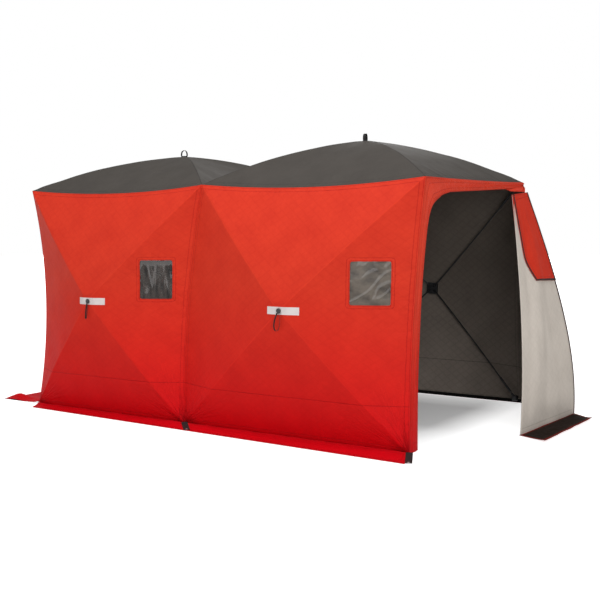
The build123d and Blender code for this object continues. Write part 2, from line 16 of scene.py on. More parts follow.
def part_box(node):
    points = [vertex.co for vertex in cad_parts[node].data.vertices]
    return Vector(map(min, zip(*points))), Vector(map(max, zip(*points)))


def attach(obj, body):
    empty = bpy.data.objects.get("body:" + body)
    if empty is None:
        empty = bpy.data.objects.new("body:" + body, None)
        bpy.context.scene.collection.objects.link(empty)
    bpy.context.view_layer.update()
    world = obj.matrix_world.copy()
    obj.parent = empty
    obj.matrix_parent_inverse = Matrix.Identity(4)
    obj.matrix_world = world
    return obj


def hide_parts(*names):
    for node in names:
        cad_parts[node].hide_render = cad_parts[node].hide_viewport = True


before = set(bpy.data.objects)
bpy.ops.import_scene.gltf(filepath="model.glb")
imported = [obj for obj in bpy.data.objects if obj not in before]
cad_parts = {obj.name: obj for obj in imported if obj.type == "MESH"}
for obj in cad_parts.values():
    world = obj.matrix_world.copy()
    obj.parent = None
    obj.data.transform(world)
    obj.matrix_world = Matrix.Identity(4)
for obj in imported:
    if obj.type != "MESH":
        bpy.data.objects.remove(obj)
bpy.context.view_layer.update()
scene = bpy.context.scene
bpy.ops.object.select_all(action="DESELECT")

# %% [markdown]
# ## Sizes
# The cloth follows the same corners, hubs and seams as the frame. All sizes are
# in metres. The shift puts the middle of the footprint at the origin, and is
# read from where the left roof hub stands.

# %% Sizes of the tent
left_hub_x, right_hub_x = -0.882, 0.896
low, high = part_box("roof_left_hub")
shift = (low.x + high.x) / 2 - left_hub_x
along_hut = np.array([shift, 0, 0])
base_x = {"left": -1.676 + shift, "middle": -0.103 + shift, "right": 1.770 + shift}
top_x = {"left": -1.831 + shift, "middle": -0.024 + shift, "right": 1.818 + shift}
base_half_width = 0.992
top_half_width = {"left": 0.851, "middle": 0.823, "right": 0.851}
eave_height = 1.769
eave_bow = (0.016, 0.044)
end_eave_sag = 0.006
valley_sag = 0.060
peak_height = {"left": 2.045, "right": 2.085}
hub_height = 0.900
hub_reach = 0.180
hub_x = {"left": left_hub_x + shift, "right": right_hub_x + shift}
wall_bow, roof_bow = 0.022, 0.046
wall_foot = 0.004
cloth = 0.006
patch_radius = 0.076
seam_pull = {"left": 0.070, "middle": -0.070, "right": -0.030}
seam_tuck = {"left": 0.048, "middle": 0.024, "right": 0.004}
rooms = {"left": ("left", "middle"), "right": ("middle", "right")}
low_seam_height = 0.300
print("shift along the hut", round(shift, 4))

# %% [markdown]
# ## Wiring a finish
# A material is a graph of nodes. Writing the graph as sums and products keeps it
# readable, so a small class wraps a socket: `1 - mask` adds a Math node.

# %% A socket that can be added and multiplied
class Value:
    def __init__(self, finish, socket):
        self.finish = finish
        self.socket = socket

    def math(self, operation, *others):
        return self.finish.node("ShaderNodeMath", {"operation": operation}, [self, *others])

    def __add__(self, other):
        return self.math("ADD", other)

    def __sub__(self, other):
        return self.math("SUBTRACT", other)

    def __rsub__(self, other):
        return self.finish.node("ShaderNodeMath", {"operation": "SUBTRACT"}, [other, self])

    def __mul__(self, other):
        return self.math("MULTIPLY", other)

    def __truediv__(self, other):
        return self.math("DIVIDE", other)

    __radd__ = __add__
    __rmul__ = __mul__

    def clip(self):
        return self.math("MAXIMUM", 0.0).math("MINIMUM", 1.0)


class Finish:
    """One material. Constants go on the shader, and varying values are wired in."""

    def __init__(self, name, constants):
        self.material = bpy.data.materials.new(name)
        self.material.use_nodes = True
        self.tree = self.material.node_tree
        self.shader = self.tree.nodes["Principled BSDF"]
        for socket, value in constants.items():
            self.shader.inputs[socket].default_value = value

    def node(self, kind, settings, inputs, output=0):
        made = self.tree.nodes.new(kind)
        for key, value in settings.items():
            setattr(made, key, value)
        pairs = inputs.items() if isinstance(inputs, dict) else enumerate(inputs)
        for key, value in pairs:
            if isinstance(value, Value):
                self.tree.links.new(value.socket, made.inputs[key])
            else:
                made.inputs[key].default_value = value
        return Value(self, made.outputs[output])

    def place(self):
        return self.node("ShaderNodeTexCoord", {}, [], "Object")

    def uv(self, layer):
        return self.node("ShaderNodeUVMap", {"uv_map": layer}, [])

    def split(self, vector):
        made = self.node("ShaderNodeSeparateXYZ", {}, [vector])
        outputs = made.socket.node.outputs
        return [Value(self, outputs[i]) for i in range(3)]

    def noise(self, vector, scale, detail=2.0, roughness=0.5):
        inputs = {"Vector": vector, "Scale": scale, "Detail": detail, "Roughness": roughness}
        return self.node("ShaderNodeTexNoise", {}, inputs)

    def stretch(self, vector, scale):
        return self.node("ShaderNodeMapping", {}, {"Vector": vector, "Scale": scale})

    def mix(self, factor, first, second):
        inputs = {0: factor, 6: first, 7: second}
        return self.node("ShaderNodeMix", {"data_type": "RGBA"}, inputs, 2)

    def line(self, distance, width):
        """1 on a line and 0 further from it than width."""
        return (1 - distance.math("ABSOLUTE") / width).clip()

    def wire(self, socket, value):
        self.tree.links.new(value.socket, self.shader.inputs[socket])

    def bump(self, height, distance, strength=1.0):
        inputs = {"Height": height, "Distance": distance, "Strength": strength}
        self.wire("Normal", self.node("ShaderNodeBump", {}, inputs))


def srgb(red, green, blue):
    """A colour as it is given, 0 to 255, as the shader wants it."""
    linear = [(c / 255 / 12.92) if c <= 10 else ((c / 255 + 0.055) / 1.055) ** 2.4
              for c in (red, green, blue)]
    return (*linear, 1.0)


print("finish class ready")

# %% [markdown]
# ## Shell cloth
# The outer cloth is a coated nylon with a fine weave over thin wadding, so its
# quilting only shows as faint diamonds. Stitched lines run beside every seam and
# round every window, and the cloth puckers between the stitches. The pattern
# follows maps on the mesh: one laid flat on the panel, and others that measure from
# its seams, its ridges, its feet and its window. A weave picture would have to be
# tiled; noise on these maps never repeats and follows each seam.

# %% Coated cloth
quilt_slope, quilt_half, quilt_stitch = 0.72, 0.030, 0.009
seam_stitches = (0.007, 0.034)
window_stitches = (0.005, 0.022)


def coated_cloth(name, colour, deep, quilt, roughness, low=None, low_seam=False, window=False,
                 hem=None, ridge=0.0, feet=False):
    """deep is the colour painted as shade in the stitches and seams, and in random cloudy patches;
    low is the colour painted at the foot, a deeper red as painted shade and a paler lining as
    painted light; hem is (height, colour).
    """
    f = Finish(name, {"Specular IOR Level": 0.10, "IOR": 1.35})
    flat = f.uv("Cloth")
    across, up, _ = f.split(flat)
    _, inward, _ = f.split(f.uv("Seam"))
    height_z = f.split(f.place())[2]

    slant_a = (across * quilt_slope + up).math("PINGPONG", quilt_half)
    slant_b = (across * quilt_slope - up).math("PINGPONG", quilt_half)
    stitch = f.line(slant_a.math("MINIMUM", slant_b), quilt_stitch)

    weave = f.noise(flat, 420.0, 1.0)
    cloudy = f.noise(flat, 5.0, 3.0)
    crumple = f.noise(flat, 34.0, 2.0)
    ripple = f.noise(f.stretch(f.uv("Seam"), (60, 9, 1)), 1.0, 2.0)
    puckers = (ripple - 0.5) * (inward * -22.0).math("EXPONENT")

    lines = f.line(inward - seam_stitches[0], 0.0025) + f.line(inward - seam_stitches[1], 0.0030)
    if low_seam:
        lines = lines + f.line(height_z - low_seam_height, 0.0045)
    if feet:
        _, from_foot, _ = f.split(f.uv("Foot"))
        fan = f.noise(f.stretch(f.uv("Foot"), (9, 2, 1)), 1.0, 1.0)
        crest = (1 - (fan - 0.5).math("ABSOLUTE") * 14.0).clip()
        crest = crest * (from_foot * -6.0).math("EXPONENT")
        puckers = puckers + crest * 1.6 * (from_foot * 25.0).clip()
    if window:
        gap, _, _ = f.split(f.uv("Window"))
        ray = f.node("ShaderNodeVectorMath", {"operation": "NORMALIZE"}, [flat])
        tucks = f.noise(ray, 9.0, 2.0)
        puckers = puckers + (tucks - 0.5) * (gap * -26.0).math("EXPONENT")
        lines = lines + f.line(gap - window_stitches[0], 0.0022)
        lines = lines + f.line(gap - window_stitches[1], 0.0026)
    lines = lines.clip()

    height = weave * 0.03 + puckers * 4.0 + crumple * 0.5 - stitch * quilt - lines * 1.1
    f.bump(height, 0.0012)

    # Painted shade: the colour darkens in the quilting stitches and along the seam and window
    # stitching; cloudy and crumple add random tone.
    shade = (cloudy * 0.5 + crumple * 0.22 + stitch * quilt * 0.3 + lines * 0.6 - 0.22).clip()
    # Painted shade and light: below 1.1 m the colour fades to low towards the foot.
    if low:
        colour = f.mix((height_z / 1.1).clip(), low, colour)
    # ridge below 0 paints a highlight along the ridges, as on the walls; above 0 it darkens a
    # stitched line along them, as on the roof.
    if ridge:
        beside, _, _ = f.split(f.uv("Ridge"))
        shade = (shade + f.line(beside, 0.007) * ridge).clip()
    base = f.mix(shade, colour, deep)
    if hem:
        base = f.mix((height_z * -400.0 + hem[0] * 400.0).clip(), base, hem[1])
    f.wire("Base Color", base)
    f.wire("Roughness", f.noise(flat, 14.0, 2.0) * 0.12 + roughness)
    return f.material


# foot_shade_red is painted shade: the red deepens towards the foot, where the cloth faces down.
red, deep_red, foot_shade_red = srgb(205, 56, 36), srgb(156, 14, 18), srgb(206, 4, 20)
# The walls' ridge of -0.25 is a painted highlight along their ridges.
red_wall = coated_cloth("red wall cloth", red, deep_red, 0.22, 0.50, foot_shade_red, low_seam=True,
                        window=True, ridge=-0.25, feet=True)
red_end = coated_cloth("red end cloth", red, deep_red, 0.22, 0.50, foot_shade_red, low_seam=True,
                       ridge=-0.25, feet=True)
red_plain = coated_cloth("red shell cloth", red, deep_red, 0.0, 0.46, foot_shade_red)
# A copy of the red painted lighter, as painted light, for the door end, which faces the light.
red_painted_lighter = coated_cloth("door end red painted lighter", srgb(226, 70, 46), srgb(176, 26, 22), 0.0, 0.44,
                          foot_shade_red)
roof_cloth = coated_cloth("charcoal roof cloth", srgb(74, 70, 66), srgb(48, 45, 43), 0.0, 0.55,
                          ridge=0.7)
# The lining's third colour is painted light: it pales towards the foot.
lining = coated_cloth("dark lining", srgb(112, 103, 95), srgb(76, 70, 64), 0.5, 0.62,
                      srgb(150, 139, 130), low_seam=True, hem=(0.034, srgb(22, 21, 21)))
pale_lining = coated_cloth("pale lining", srgb(207, 198, 188), srgb(164, 155, 145), 0.25, 0.6)
print("cloths", red_wall.name, roof_cloth.name, lining.name)

# %% [markdown]
# ## Mouldings, tapes, hem and film
# Hubs and rods are black plastic, tapes are ribbed webbing, the door's hem is dark
# cloth with a sewn band, and the windows are film painted grey for the dark room
# behind them. One material with many switches could do all four. Four short functions
# are easier to read, because each has only the pattern that its own stuff has.

# %% Plain finishes
def plain(name, colour, deep, roughness, grain, depth, constants=None):
    f = Finish(name, constants or {})
    place = f.place()
    speckle = f.noise(place, grain, 3.0)
    f.wire("Base Color", f.mix(f.noise(place, 30.0, 2.0), colour, deep))
    f.wire("Roughness", speckle * 0.2 + roughness)
    f.bump(speckle, depth)
    return f.material


def webbing_finish(name, colour, deep, rib):
    """Narrow woven tape: ribs run across it, at a spacing of rib."""
    f = Finish(name, {"Specular IOR Level": 0.3})
    across, along, _ = f.split(f.uv("Cloth"))
    ribs = (along * (2 * math.pi / rib)).math("SINE") * 0.5 + 0.5
    grain = f.noise(f.uv("Cloth"), 300.0, 2.0)
    f.wire("Base Color", f.mix((ribs * 0.5 + grain * 0.5).clip(), deep, colour))
    f.wire("Roughness", grain * 0.2 + 0.6)
    f.bump(ribs + grain * 0.4, 0.0004)
    return f.material


def hem_cloth(name, colour, hem_colour):
    """Dark cloth with a coloured band sewn along its free edges."""
    f = Finish(name, {"Specular IOR Level": 0.05, "IOR": 1.3})
    _, inward, _ = f.split(f.uv("Seam"))
    crumple = f.noise(f.uv("Cloth"), 30.0, 3.0)
    band = ((0.024 - inward) * 300.0).clip()
    stitches = f.line(inward - 0.026, 0.003)
    f.wire("Base Color", f.mix(band, colour, hem_colour))
    f.wire("Roughness", crumple * 0.2 + 0.5)
    f.bump(crumple * 2.0 - stitches, 0.0015)
    return f.material


def film_finish(name, colour, deep, alpha, streaks):
    """Clear film, creased from folding. Its grey is painted shade that stands for the dark room
    behind it, with painted dark streaks along the creases.
    """
    f = Finish(name, {"Coat Weight": 0.6, "Coat Roughness": 0.03, "Specular IOR Level": 0.4,
                      "Alpha": alpha})
    flat = f.uv("Cloth")
    streak = f.noise(f.stretch(flat, streaks), 1.0, 3.0)
    creases = f.noise(flat, 26.0, 3.0, 0.6)
    # Painted shade: dark streaks along the film's creases.
    f.wire("Base Color", f.mix(((streak - 0.42) * 4.0).clip(), colour, deep))
    f.wire("Roughness", creases * 0.10 + 0.08)
    f.bump(streak * 1.5 + creases * 0.4, 0.002)
    return f.material


black_moulding = plain("black nylon", srgb(24, 24, 25), srgb(34, 34, 36), 0.38, 300.0, 0.0003)
black_rod = plain("black fibreglass", srgb(18, 18, 19), srgb(30, 30, 31), 0.3, 500.0, 0.0002)
eyelet_metal = plain("zinc eyelet", srgb(176, 174, 170), srgb(150, 148, 144), 0.28, 200.0, 0.0001,
                     {"Metallic": 1.0})
black_webbing = webbing_finish("black webbing", srgb(38, 36, 36), srgb(18, 17, 17), 0.0035)
zip_tape = webbing_finish("zip tape", srgb(66, 30, 26), srgb(24, 20, 20), 0.0030)
reflective = webbing_finish("reflective strip", srgb(222, 214, 212), srgb(198, 190, 188), 0.0060)
brown_hem = hem_cloth("door hem cloth", srgb(34, 25, 21), srgb(112, 34, 27))
film_alpha = 0.92
# Each room's film has its own painted grey, darker in the left room, for how dark that room looks
# through it.
film = {"left": film_finish("film with painted shade left", srgb(66, 60, 56), srgb(24, 22, 21), film_alpha,
                            (40, 7, 1)),
        "right": film_finish("film with painted shade right", srgb(104, 96, 87), srgb(66, 60, 55), film_alpha,
                             (9, 13, 1))}
print("plain finishes ready")

# %% [markdown]
# ## Popped panels
# A hub pushes each panel out at its middle, and four rods make ridges from there
# to the corners. So a panel is four facets. Each facet is a smooth patch between
# its two ridges and its seam. A simulated sheet would slide on the rods and lose
# the sewn corners. A square grid carried to the patches keeps every corner, and
# its two diagonals can lie on the ridges.

# %% Curves and facets
def bend(start, end, bow):
    """Guide points of a seam from start to end that bows at its middle."""
    start, end = np.array(start), np.array(end)
    return [start, (start + end) / 2 + 2 * np.array(bow), end]


def corner(station, side, level):
    if level == "base":
        return (base_x[station], side * base_half_width, wall_foot)
    return (top_x[station], side * top_half_width[station], eave_height)


def upright(station, side):
    bow = (seam_pull[station], -side * seam_tuck[station], 0)
    return bend(corner(station, side, "base"), corner(station, side, "top"), bow)


def cross_seam(station, level, sag):
    return bend(corner(station, -1, level), corner(station, 1, level), (0, 0, -sag))


def long_seam(room, side, level):
    a, b = rooms[room]
    bow = (0, 0, 0) if level == "base" else (0, -side * eave_bow[0], -eave_bow[1])
    return bend(corner(a, side, level), corner(b, side, level), bow)


def quadratic(t):
    return np.array([(1 - t) ** 2, 2 * t * (1 - t), t**2])


def facet_rows(seam, hub, normal, bow):
    reach = []
    for end in (seam[0], seam[2]):
        flat = end - hub
        flat = flat - normal * flat.dot(normal)
        reach.append(hub + flat / np.linalg.norm(flat) * patch_radius)
    ridge = [(reach[i] + seam[2 * i]) / 2 + normal * 2 * bow for i in (0, 1)]
    middle = (reach[0] + reach[1]) / 2
    centre = (ridge[0] + ridge[1]) / 2 + (middle + seam[1]) / 2
    centre = centre - (reach[0] + reach[1] + seam[0] + seam[2]) / 4
    return np.array([[reach[0], middle, reach[1]], [ridge[0], centre, ridge[1]], seam])


print("seam along the front eave", np.round(long_seam("left", -1, "top"), 3).tolist())

# %% [markdown]
# ## Relief
# Sewn cloth is never quite smooth. It puckers beside a seam, it gathers into sharp
# creases where it is pulled down to a foot, and it tucks round a window. Each of
# these is a smooth noise stretched the way the cloth is pulled, and fading away
# from its cause. The relief moves the mesh itself, so it shows in the outline too.

# %% How far the cloth stands out
def ripple(a, b, seed):
    """Smooth noise between -1 and 1 at many places, the same on every run."""
    seeds = seed + np.zeros(len(a))
    return np.array([noise.noise(Vector(spot)) for spot in zip(a, b, seeds)])


def creases(a, b, seed):
    """Crests, 1 at most and 0 between them."""
    return np.maximum(1 - np.abs(ripple(a, b, seed)) * 2.6, 0)


def foot_map(flat, foot):
    """Direction and distance from a foot."""
    away = flat - np.array(foot)
    return np.arctan2(away[:, 1], away[:, 0]), np.hypot(*away.T)


def foot_creases(flat, foot, size, reach, seed):
    """Creases that fan up from a foot that the cloth is pulled down to."""
    angle, distance = foot_map(flat, foot)
    fade = np.exp(-((distance / reach) ** 2)) * np.clip(distance / 0.05, 0, 1)
    return size * creases(angle * 3.6, distance * 1.5, seed) * fade


def window_gap(flat, window):
    """Distance outside a window's border."""
    width, height = window
    beside = np.abs(flat[:, 0]) - width / 2
    above = np.abs(flat[:, 1]) - height / 2
    outside = np.hypot(np.maximum(beside, 0), np.maximum(above, 0))
    return np.where((beside < 0) & (above < 0), np.maximum(beside, above), outside)


def relief(along, inward, flat, feet, window, seed):
    height = 0.0060 * ripple(along * 20, inward * 4, seed) * np.exp(-inward / 0.07)
    height += 0.0035 * ripple(flat[:, 0] * 5, flat[:, 1] * 5, seed + 9)
    for foot, size, reach in feet:
        height += foot_creases(flat, foot, size, reach, seed + 4)
    if window:
        gap = window_gap(flat, window)
        ray = flat / np.maximum(np.hypot(*flat.T), 0.01)[:, None]
        fade = np.exp(-np.maximum(gap, 0) / 0.08)
        tucks = ripple(ray[:, 0] * 5.5, ray[:, 1] * 5.5, seed + gap * 6) * fade
        height = height * np.clip(gap / 0.03, 0, 1) + 0.0065 * tucks * np.clip(gap / 0.012, 0, 1)
    return height * np.clip(inward / 0.02, 0, 1)


print("relief ready")

# %% [markdown]
# ## Handling a mesh
# Every piece needs the same few moves: make it the active one, apply a modifier,
# and write a map of where its cloth lies. They could be repeated for each piece.
# As helpers they are said once, and each piece's own cell keeps to its shape.

# %% Moves that every piece needs
def activate(piece):
    bpy.ops.object.select_all(action="DESELECT")
    piece.select_set(True)
    bpy.context.view_layer.objects.active = piece


def apply_modifier(piece, kind, **settings):
    activate(piece)
    modifier = piece.modifiers.new(kind, kind)
    for key, value in settings.items():
        setattr(modifier, key, value)
    bpy.ops.object.modifier_apply(modifier=modifier.name)


def write_uv(mesh, name, values):
    layer = mesh.uv_layers.get(name) or mesh.uv_layers.new(name=name)
    layer.data.foreach_set("uv", values.astype(np.float32).ravel())


def read_corners(mesh):
    corners = np.zeros(len(mesh.loops), int)
    mesh.loops.foreach_get("vertex_index", corners)
    return corners


def triangles_on_ridges(mesh, cells):
    """Splits the squares on both diagonals, so that the ridges stay sharp."""
    for method, sign in (("FIXED", 1), ("FIXED_ALTERNATE", -1)):
        bpy.ops.object.mode_set(mode="EDIT")
        bpy.ops.mesh.select_all(action="DESELECT")
        bpy.ops.object.mode_set(mode="OBJECT")
        for face in mesh.polygons:
            on_ridge = abs(face.center.x - sign * face.center.y) < 0.2 / cells
            face.select = on_ridge and len(face.vertices) == 4
        bpy.ops.object.mode_set(mode="EDIT")
        bpy.ops.mesh.quads_convert_to_tris(quad_method=method)
        bpy.ops.object.mode_set(mode="OBJECT")


def facet_of(a, b):
    """Which of the four facets a place of the square lies on."""
    return np.where(np.abs(b) >= np.abs(a), np.where(b < 0, 0, 2), np.where(a > 0, 1, 3))


def share_of_seam(a, b, facet, size):
    """How far along its facet's seam a place of the square lies, 0 to 1."""
    size = np.maximum(size, 1e-9)
    return np.choose(facet, [a / size + 1, b / size + 1, 1 - a / size, 1 - b / size]) / 2


print("mesh helpers ready")

# %% [markdown]
# ## One popped panel
# A flat square is carried to the four patches, given its relief and then its maps.
# Bending and pushing it by hand would leave the seams of two neighbours apart. Here
# both are worked out from the same guide points, so they meet.

# %% The panel itself
def popped_panel(name, seams, hub, normal, bow, cells, origin, axes, feet=(), window=None,
                 seed=1.0):
    """A square of cloth carried to its place over the hub and rods."""
    bpy.ops.mesh.primitive_grid_add(x_subdivisions=2 * cells, y_subdivisions=2 * cells, size=2)
    piece = bpy.context.object
    piece.name = name
    mesh = piece.data
    triangles_on_ridges(mesh, cells)

    spots = np.array([tuple(v.co) for v in mesh.vertices])[:, :2]
    hub, normal = np.array(hub, float), np.array(normal, float)
    grids = [facet_rows(seam, hub, normal, bow) for seam in seams]
    patch = 4 / cells

    lengths = np.array([np.linalg.norm(seam[2] - seam[0]) for seam in seams])
    depths = np.array([np.linalg.norm((seam[2] + seam[0]) / 2 - hub) for seam in seams])

    def seam_map(t, size, facet):
        return (0.5 + (t - 0.5) * size) * lengths[facet], (1 - size) * depths[facet]

    a, b = spots.T
    size = np.maximum(np.abs(a), np.abs(b))
    facet = facet_of(a, b)
    t = np.clip(share_of_seam(a, b, facet, size), 0, 1)
    s = np.clip((size - patch) / (1 - patch), 0, 1)
    points = np.zeros((len(a), 3))
    for k, grid in enumerate(grids):
        mine = facet == k
        points[mine] = np.einsum("in,jn,ijc->nc", quadratic(s[mine]), quadratic(t[mine]), grid)
    inner = np.minimum(size / patch, 1)[:, None]
    points = hub + (points - hub) * inner

    def lay_flat(places):
        places = places - np.array(origin)
        return np.stack([places @ np.array(axes[0]), places @ np.array(axes[1])], 1)

    flat = lay_flat(points)
    along, inward = seam_map(t, size, facet)
    smooth = 1 - np.exp(-((np.linalg.norm(points - hub, axis=1) / 0.20) ** 2))
    height = relief(along, inward, flat, feet, window, seed) * smooth
    points = points + normal * height[:, None]
    mesh.vertices.foreach_set("co", points.ravel())

    corners = read_corners(mesh)
    centres = np.array([np.mean(spots[list(face.vertices)], axis=0) for face in mesh.polygons])
    counts = [len(face.vertices) for face in mesh.polygons]
    loop_facet = np.repeat(facet_of(*centres.T), counts)
    loop_size = size[corners]
    loop_t = share_of_seam(a[corners], b[corners], loop_facet, loop_size)
    write_uv(mesh, "Seam", np.stack(seam_map(loop_t, loop_size, loop_facet), 1))
    write_uv(mesh, "Cloth", flat[corners])
    beside_ridge = np.minimum(loop_t, 1 - loop_t) * loop_size * lengths[loop_facet]
    write_uv(mesh, "Ridge", np.stack([beside_ridge, loop_size], 1))
    if len(feet):
        maps = np.array([foot_map(flat, foot) for foot, _, _ in feet])
        nearest = np.argmin(maps[:, 1], axis=0)
        write_uv(mesh, "Foot", maps[nearest, :, np.arange(len(flat))][corners])
    if window:
        gap = window_gap(flat, window)
        write_uv(mesh, "Window", np.stack([gap, gap], 1)[corners])
    if mesh.polygons[0].normal.dot(Vector(normal)) < 0:
        mesh.flip_normals()
    return piece


print("panel maker ready")

# %% [markdown]
# ## Free-form sheets
# The door, its flap, the skirts and the webbing are single cloths. Each is a grid
# whose points are carried to a surface that a small function gives, from 0 to 1
# both ways. The function holds the shape, so a fold or a curl is one line of it.

# %% A sheet from a function
def draped_grid(name, across, up, surface, size, facing=None):
    """A grid of cloth: surface(u, v) gives each point, size its flat width and length."""
    bpy.ops.mesh.primitive_grid_add(x_subdivisions=across, y_subdivisions=up, size=1)
    piece = bpy.context.object
    piece.name = name
    mesh = piece.data
    flat = np.array([tuple(v.co) for v in mesh.vertices])[:, :2] + 0.5
    points = np.array([surface(u, v) for u, v in flat])
    mesh.vertices.foreach_set("co", points.ravel())
    corners = read_corners(mesh)
    write_uv(mesh, "Cloth", flat[corners] * np.array(size))
    edge = np.minimum(flat, 1 - flat) * np.array(size)
    inward = edge.min(axis=1)[corners]
    write_uv(mesh, "Seam", np.stack([flat[corners].sum(axis=1) * max(size), inward], 1))
    mesh.update()
    if facing is not None:
        total = sum((face.normal * face.area for face in mesh.polygons), Vector())
        if total.dot(Vector(facing)) < 0:
            mesh.flip_normals()
    return piece


def lerp(a, b, t):
    return np.array(a) * (1 - t) + np.array(b) * t


def unit(vector):
    return np.array(vector) / np.linalg.norm(vector)


def cubic(points, t):
    weights = ((1 - t) ** 3, 3 * t * (1 - t) ** 2, 3 * t**2 * (1 - t), t**3)
    return sum(w * np.array(p) for w, p in zip(weights, points))


def curve_at(guides, t):
    return sum(w * np.array(p) for w, p in zip(quadratic(t), guides))


def through(points, t):
    """A smooth line that passes through all the points, t from 0 to 1."""
    points = [np.array(p, float) for p in points]
    k = min(int(t * (len(points) - 1)), len(points) - 2)
    s = t * (len(points) - 1) - k
    a, b = points[k], points[k + 1]
    before = points[k - 1] if k else 2 * a - b
    after = points[k + 2] if k + 2 < len(points) else 2 * b - a
    bend_term = 2 * before - 5 * a + 4 * b - after
    twist_term = 3 * a - before - 3 * b + after
    return 0.5 * (2 * a + (b - before) * s + bend_term * s**2 + twist_term * s**3)


def hump(distance, width):
    """A smooth rise, 1 at the middle and almost 0 at width."""
    return math.exp(-((2 * distance / width) ** 2))


print("sheet maker ready")

# %% [markdown]
# ## Windows
# Each window is clear film sewn behind the opening. It is held only at its edge, so
# it keeps the creases it was packed with. They are pressed into the pane, away from
# the wall, and catch the light as thin glints. The pane is laid on the uncut cloth,
# so that it follows the wall's own bulge, and then the cloth is cut in front of it.

# %% Film panes
def rough(point, scale, seed=0.0):
    """Smooth noise between -1 and 1 at a point, the same on every run."""
    return noise.noise(Vector(point) * scale + Vector((seed, seed * 0.7, seed * 1.3)))


crease_depth, slack_depth, crease_sharpness = 0.0045, 0.004, 6


def film_creases(room, x, z):
    """Depth of the film's creases: upright in the left room, slanting in the right."""
    if room == "left":
        lines = abs(rough((x * 17, z * 3.5 + x * 3, 0), 1.0, 5.0))
    else:
        lines = abs(rough((x * 8 - z * 9, x * 4 + z * 3, 0), 1.0, 6.0))
    slack = 0.5 + 0.5 * rough((x * 9, z * 5, 0), 1.0, 3.0)
    return crease_depth * max(1 - lines * crease_sharpness, 0) + slack_depth * slack


def film_pane(name, wall_cloth, room, side, middle, size):
    bpy.context.view_layer.update()
    width, height = size[0] + 2 * film_overlap, size[1] + 2 * film_overlap

    def surface(u, v):
        x, z = middle[0] + (u - 0.5) * width, middle[1] + (v - 0.5) * height
        _, place, _, _ = wall_cloth.ray_cast(Vector((x, side * 3, z)), Vector((0, -side, 0)))
        held = min(u * 6, (1 - u) * 6, v * 6, (1 - v) * 6, 1)
        behind = cloth + film_gap + film_creases(room, x, z) * held
        return np.array([x, place.y - side * behind, z])

    pane = draped_grid(name, 70, 70, surface, (width, height), (0, side, 0))
    pane.data.materials.append(film[room])
    bpy.ops.object.shade_smooth()
    return pane


print("film maker ready")

# %% Windows are cut through
def cut_window(piece, middle, size, radius):
    """Scores the cloth along the window's four sides, empties it and rounds its corners."""
    activate(piece)
    mesh = piece.data
    low = [middle[0] - size[0] / 2, middle[1] - size[1] / 2]
    high = [middle[0] + size[0] / 2, middle[1] + size[1] / 2]
    bpy.ops.object.mode_set(mode="EDIT")
    for axis, k in ((0, 0), (2, 1)):
        for value in (low[k], high[k]):
            bpy.ops.mesh.select_all(action="SELECT")
            plane = Vector((0, 0, 0))
            plane[axis] = 1
            bpy.ops.mesh.bisect(plane_co=plane * value, plane_no=plane, threshold=0.0005)
    bpy.ops.object.mode_set(mode="OBJECT")
    bpy.ops.object.mode_set(mode="EDIT")
    bpy.ops.mesh.select_all(action="DESELECT")
    bpy.ops.object.mode_set(mode="OBJECT")
    for face in mesh.polygons:
        c = face.center
        face.select = low[0] < c.x < high[0] and low[1] < c.z < high[1]
    bpy.ops.object.mode_set(mode="EDIT")
    bpy.ops.mesh.delete(type="FACE")
    bpy.ops.object.mode_set(mode="OBJECT")
    for vertex in mesh.vertices:
        dx, dz = vertex.co.x - middle[0], vertex.co.z - middle[1]
        ex, ez = abs(dx) - size[0] / 2 + radius, abs(dz) - size[1] / 2 + radius
        if 0 < ex < radius * 1.01 and 0 < ez < radius * 1.01 and math.hypot(ex, ez) > radius:
            scale = radius / math.hypot(ex, ez)
            vertex.co.x = middle[0] + math.copysign(size[0] / 2 - radius + ex * scale, dx)
            vertex.co.z = middle[1] + math.copysign(size[1] / 2 - radius + ez * scale, dz)


print("window cutter ready")

# %% [markdown]
# ## Sewing
# Every cloth ends the same way: it gets its thickness and its lining, is tied to
# the body that it moves with, and takes the place of the bare node. Its area is read
# from its own mesh and printed, so it says how much cloth was modelled and isn't a
# test of it.

# %% Thickness, lining and what the cloth stands for
def cloth_shell(piece, outside, inside, thickness=cloth):
    """Gives the cloth its thickness inwards, with the lining on the inner face."""
    piece.data.materials.append(outside)
    piece.data.materials.append(inside)
    apply_modifier(piece, "SOLIDIFY", thickness=thickness, offset=-1, material_offset=1,
                   use_even_offset=True)
    activate(piece)
    bpy.ops.object.shade_smooth_by_angle(angle=math.radians(50))


def area_of(piece):
    return sum(face.area for face in piece.data.polygons)


def sew(piece, outside, inside, thickness, body, node, flat):
    """Thickens a cloth, ties it to its body, hides the bare node that it stands for and prints its
    name and size.
    """
    area = area_of(piece)
    cloth_shell(piece, outside, inside, thickness)
    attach(piece, body)
    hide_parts(node)
    declared = round(min(area, flat[0] * flat[1]), 4)
    print(piece.name, len(piece.data.polygons), "faces", round(area, 3), "square metres")


print("sewing ready")

# %% [markdown]
# ## The four long walls
# The front and the back are alike, turned half round, so one loop makes all four. A
# mirrored copy would be quicker, but each wall has its own creases, and the window
# then has to sit on the other hand. The cloth is pulled down harder at the middle
# foot, where two rooms share one corner.

